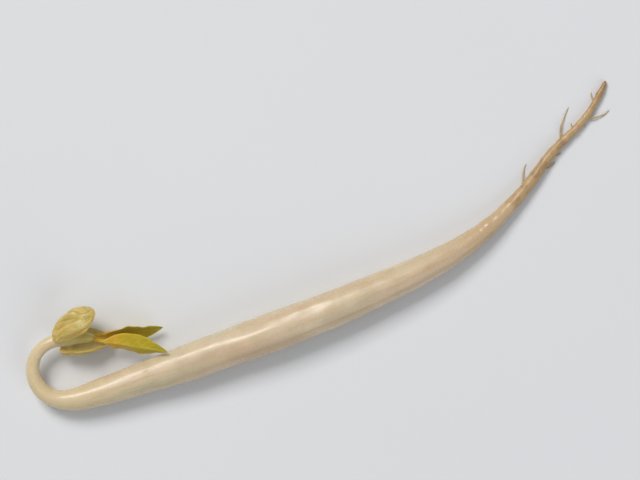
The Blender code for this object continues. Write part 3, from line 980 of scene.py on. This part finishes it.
def build_first_leaf(which, length, phase, roll, gape, twist, sizes, material):
    """A first leaf: a thin rippled blade with raised veins, and a stalk let into the stem."""
    u_line = np.linspace(LEAF_START, LEAF_END, LEAF_ROWS)
    v_line = np.sin(np.linspace(-math.pi / 2, math.pi / 2, LEAF_COLUMNS))
    u, v = np.meshgrid(u_line, v_line, indexing="ij")
    widest = sizes.leaf_width / MM / 2
    middle, half_width, outline = leaf_middle(u, v, length, widest, phase)
    normal = np.cross(np.gradient(middle, axis=0), np.gradient(middle, axis=1))
    normal /= np.linalg.norm(normal, axis=-1)[..., None] + 1e-12
    blade = sizes.blade_thickness / MM
    stalk = 1.0 - smooth_step(0.08, 0.22, u)
    point = rounded((1.0 - u) / LEAF_THIN_SHARE)
    thickness = blade * (1.0 - 0.35 * u) + (LEAF_STALK_THICKNESS - blade) * stalk
    edge_power = 2.0 + 10.0 * (1.0 - stalk)
    profile = np.clip(1.0 - np.abs(v) ** edge_power, 0.0, 1.0) ** 0.5
    vein = vein_strength(u, v, half_width, outline)
    half = thickness * point * profile / 2
    grain = roughen(middle.reshape(-1, 3), 0.5, 21 + phase).reshape(u.shape)
    bumps = LEAF_GRAIN * grain * point * profile
    back = middle + normal * (half + VEIN_RISE_BACK * vein * profile + bumps)[..., None]
    front = middle - normal * (half - VEIN_RISE_FRONT * vein * profile + bumps)[..., None]
    sunk = LEAF_STALK_SINK * smooth_step(0.03, LEAF_START, u)
    for face in (back, front):
        face[..., 2] -= sunk
    shape, faces = ring_mesh(both_sides(back, front))
    points = moved(shape, placement_of_leaf(roll, gape, twist))
    solid = "first_leaf_" + which
    piece = new_piece(which + "_leaf", points, faces, material, [solid])
    for label, field, end in (("vein", vein, 0.0), ("reach", u, 1.0)):
        values = both_sides(field, field).ravel()
        add_attribute(piece, label, np.concatenate([values, (0.0, end)]))
    add_attribute(piece, "place", shape + (0.0, 0.0, 10.0 * phase))


def build_bud(material):
    """The tiny pointed bud between the two leaf stalks."""
    sphere, faces = unit_sphere(BUD_DETAIL)
    slim = np.where(sphere[:, 0] > 0.0, (1.0 - sphere[:, 0]) ** 0.35, 1.0)
    turn = np.arctan2(sphere[:, 2], sphere[:, 1])
    scales = 1.0 + 0.10 * np.sin(3.0 * turn + 4.0 * sphere[:, 0])
    shape = sphere * BUD_HALF_SIZES
    shape[:, 1:] *= (slim * scales)[:, None]
    to_middle = Matrix.Translation((0.0, 0.0, -STALK_APART))
    points = moved(shape, placement_of_leaf(LEAF_PAIR_ROLL, 0.0, 0.0) @ to_middle)
    bud = new_piece("shoot_bud", points, faces, material, [])
    add_attribute(bud, "place", shape)
    add_attribute(bud, "vein", np.zeros(len(shape)))
    add_attribute(bud, "reach", 0.1 + 0.3 * (sphere[:, 0] > 0.0))


class SPROUT_OT_stem(bpy.types.Operator):
    """Build the root, stem, neck and upper stem as one skin"""

    bl_idname = "sprout.stem"
    bl_label = "Stem and root"

    def execute(self, context):
        build_stem(context.scene.sprout_sizes, context.scene.sprout_colours)
        return {"FINISHED"}


class SPROUT_OT_side_rootlets(bpy.types.Operator):
    """Build the fine side rootlets, with the stem's skin"""

    bl_idname = "sprout.side_rootlets"
    bl_label = "Side rootlets"

    def execute(self, context):
        skin = bpy.data.materials.get("stem_skin")
        skin = skin or stem_material(context.scene.sprout_colours)
        build_side_rootlets(context.scene.sprout_sizes, skin)
        return {"FINISHED"}


class SPROUT_OT_seed_leaves(bpy.types.Operator):
    """Build the two shrunken halves of the bean"""

    bl_idname = "sprout.seed_leaves"
    bl_label = "Seed leaves"

    def execute(self, context):
        sizes = context.scene.sprout_sizes
        material = seed_leaf_material(context.scene.sprout_colours)
        build_seed_leaf("upper", 1, 0.0, UPPER_GAP, sizes, material)
        build_seed_leaf("lower", -1, LOWER_PHASE, LOWER_GAP, sizes, material)
        return {"FINISHED"}


class SPROUT_OT_first_leaves(bpy.types.Operator):
    """Build the pair of first leaves and the bud between them"""

    bl_idname = "sprout.first_leaves"
    bl_label = "First leaves"

    def execute(self, context):
        sizes = context.scene.sprout_sizes
        material = first_leaf_material(context.scene.sprout_colours)
        inner, outer = sizes.inner_length / MM, sizes.outer_length / MM
        build_first_leaf("inner", inner, *INNER_LEAF, sizes, material)
        build_first_leaf("outer", outer, *OUTER_LEAF, sizes, material)
        build_bud(material)
        return {"FINISHED"}


class SPROUT_OT_stage(bpy.types.Operator):
    """Set up the floor, the soft studio lights and the camera that looks straight down"""

    bl_idname = "sprout.stage"
    bl_label = "Stage"

    def execute(self, context):
        build_floor(context.scene.sprout_colours)
        build_lights()
        build_camera(context.scene.sprout_sizes)
        return {"FINISHED"}


def build_floor(colours):
    """A wide plain floor, just under the sprout."""
    mesh = bpy.data.meshes.new("floor")
    form = bmesh.new()
    bmesh.ops.create_grid(form, x_segments=1, y_segments=1, size=FLOOR_REACH)
    form.to_mesh(mesh)
    form.free()
    mesh.materials.append(floor_material(colours))
    floor = bpy.data.objects.new("floor", mesh)
    floor.location.z = -FLOOR_DROP * MM
    bpy.context.scene.collection.objects.link(floor)


def add_light(name, azimuth, elevation, distance, width, power, colour):
    """A square soft light aimed at the sprout."""
    light = bpy.data.lights.new(name, "AREA")
    light.shape = "SQUARE"
    light.size = width
    light.energy = power
    light.color = colour
    lamp = bpy.data.objects.new(name, light)
    across, rise = math.radians(azimuth), math.radians(elevation)
    level = math.cos(rise)
    away = Vector((math.sin(across) * level, math.cos(across) * level, math.sin(rise)))
    lamp.location = away * distance
    lamp.rotation_euler = away.to_track_quat("Z", "Y").to_euler()
    bpy.context.scene.collection.objects.link(lamp)


def build_lights():
    """Three soft lights and an even, faint light from the room."""
    for row in LIGHTS:
        add_light(*row)
    world = bpy.data.worlds.new("studio")
    world.use_nodes = True
    background = world.node_tree.nodes["Background"]
    background.inputs["Color"].default_value = ROOM_COLOUR
    background.inputs["Strength"].default_value = ROOM_LIGHT
    bpy.context.scene.world = world
    bpy.context.scene.view_settings.view_transform = "Standard"


def build_camera(sizes):
    """A camera straight above the sprout, rolled so that the stem rises to the right."""
    data = bpy.data.cameras.new("camera")
    height = sizes.camera_height
    data.lens = data.sensor_width * height / sizes.view_width
    data.clip_start = CAMERA_CLIP
    camera = bpy.data.objects.new("camera", data)
    roll = Matrix.Rotation(math.radians(CAMERA_ROLL), 4, "Z")
    seen = moved(axis_points(TRACE_AT) * MM, roll.inverted())
    aim = roll @ Vector((seen.min(axis=0) + seen.max(axis=0)) / 2)
    aim.z = 0.0
    camera.matrix_world = Matrix.Translation(aim + Vector((0.0, 0.0, height))) @ roll
    bpy.context.scene.collection.objects.link(camera)
    bpy.context.scene.camera = camera


class SPROUT_PT_panel(bpy.types.Panel):
    bl_idname = "SPROUT_PT_panel"
    bl_label = "Mung Bean Sprout"
    bl_space_type = "VIEW_3D"
    bl_region_type = "UI"
    bl_category = "Sprout"

    def draw(self, context):
        for operator in OPERATORS:
            self.layout.operator(operator.bl_idname)
        for group in (context.scene.sprout_sizes, context.scene.sprout_colours):
            for name in group.__annotations__:
                self.layout.prop(group, name)


OPERATORS = (
    SPROUT_OT_stem,
    SPROUT_OT_side_rootlets,
    SPROUT_OT_seed_leaves,
    SPROUT_OT_first_leaves,
    SPROUT_OT_stage,
)
CLASSES = (SproutSizes, SproutColours, *OPERATORS, SPROUT_PT_panel)


def register():
    for item in CLASSES:
        bpy.utils.register_class(item)
    bpy.types.Scene.sprout_sizes = PointerProperty(type=SproutSizes)
    bpy.types.Scene.sprout_colours = PointerProperty(type=SproutColours)


def unregister():
    del bpy.types.Scene.sprout_colours
    del bpy.types.Scene.sprout_sizes
    for item in reversed(CLASSES):
        bpy.utils.unregister_class(item)


def main():
    register()
    bpy.ops.sprout.stem()
    bpy.ops.sprout.side_rootlets()
    bpy.ops.sprout.seed_leaves()
    bpy.ops.sprout.first_leaves()
    bpy.ops.sprout.stage()


if __name__ == "__main__":
    main()
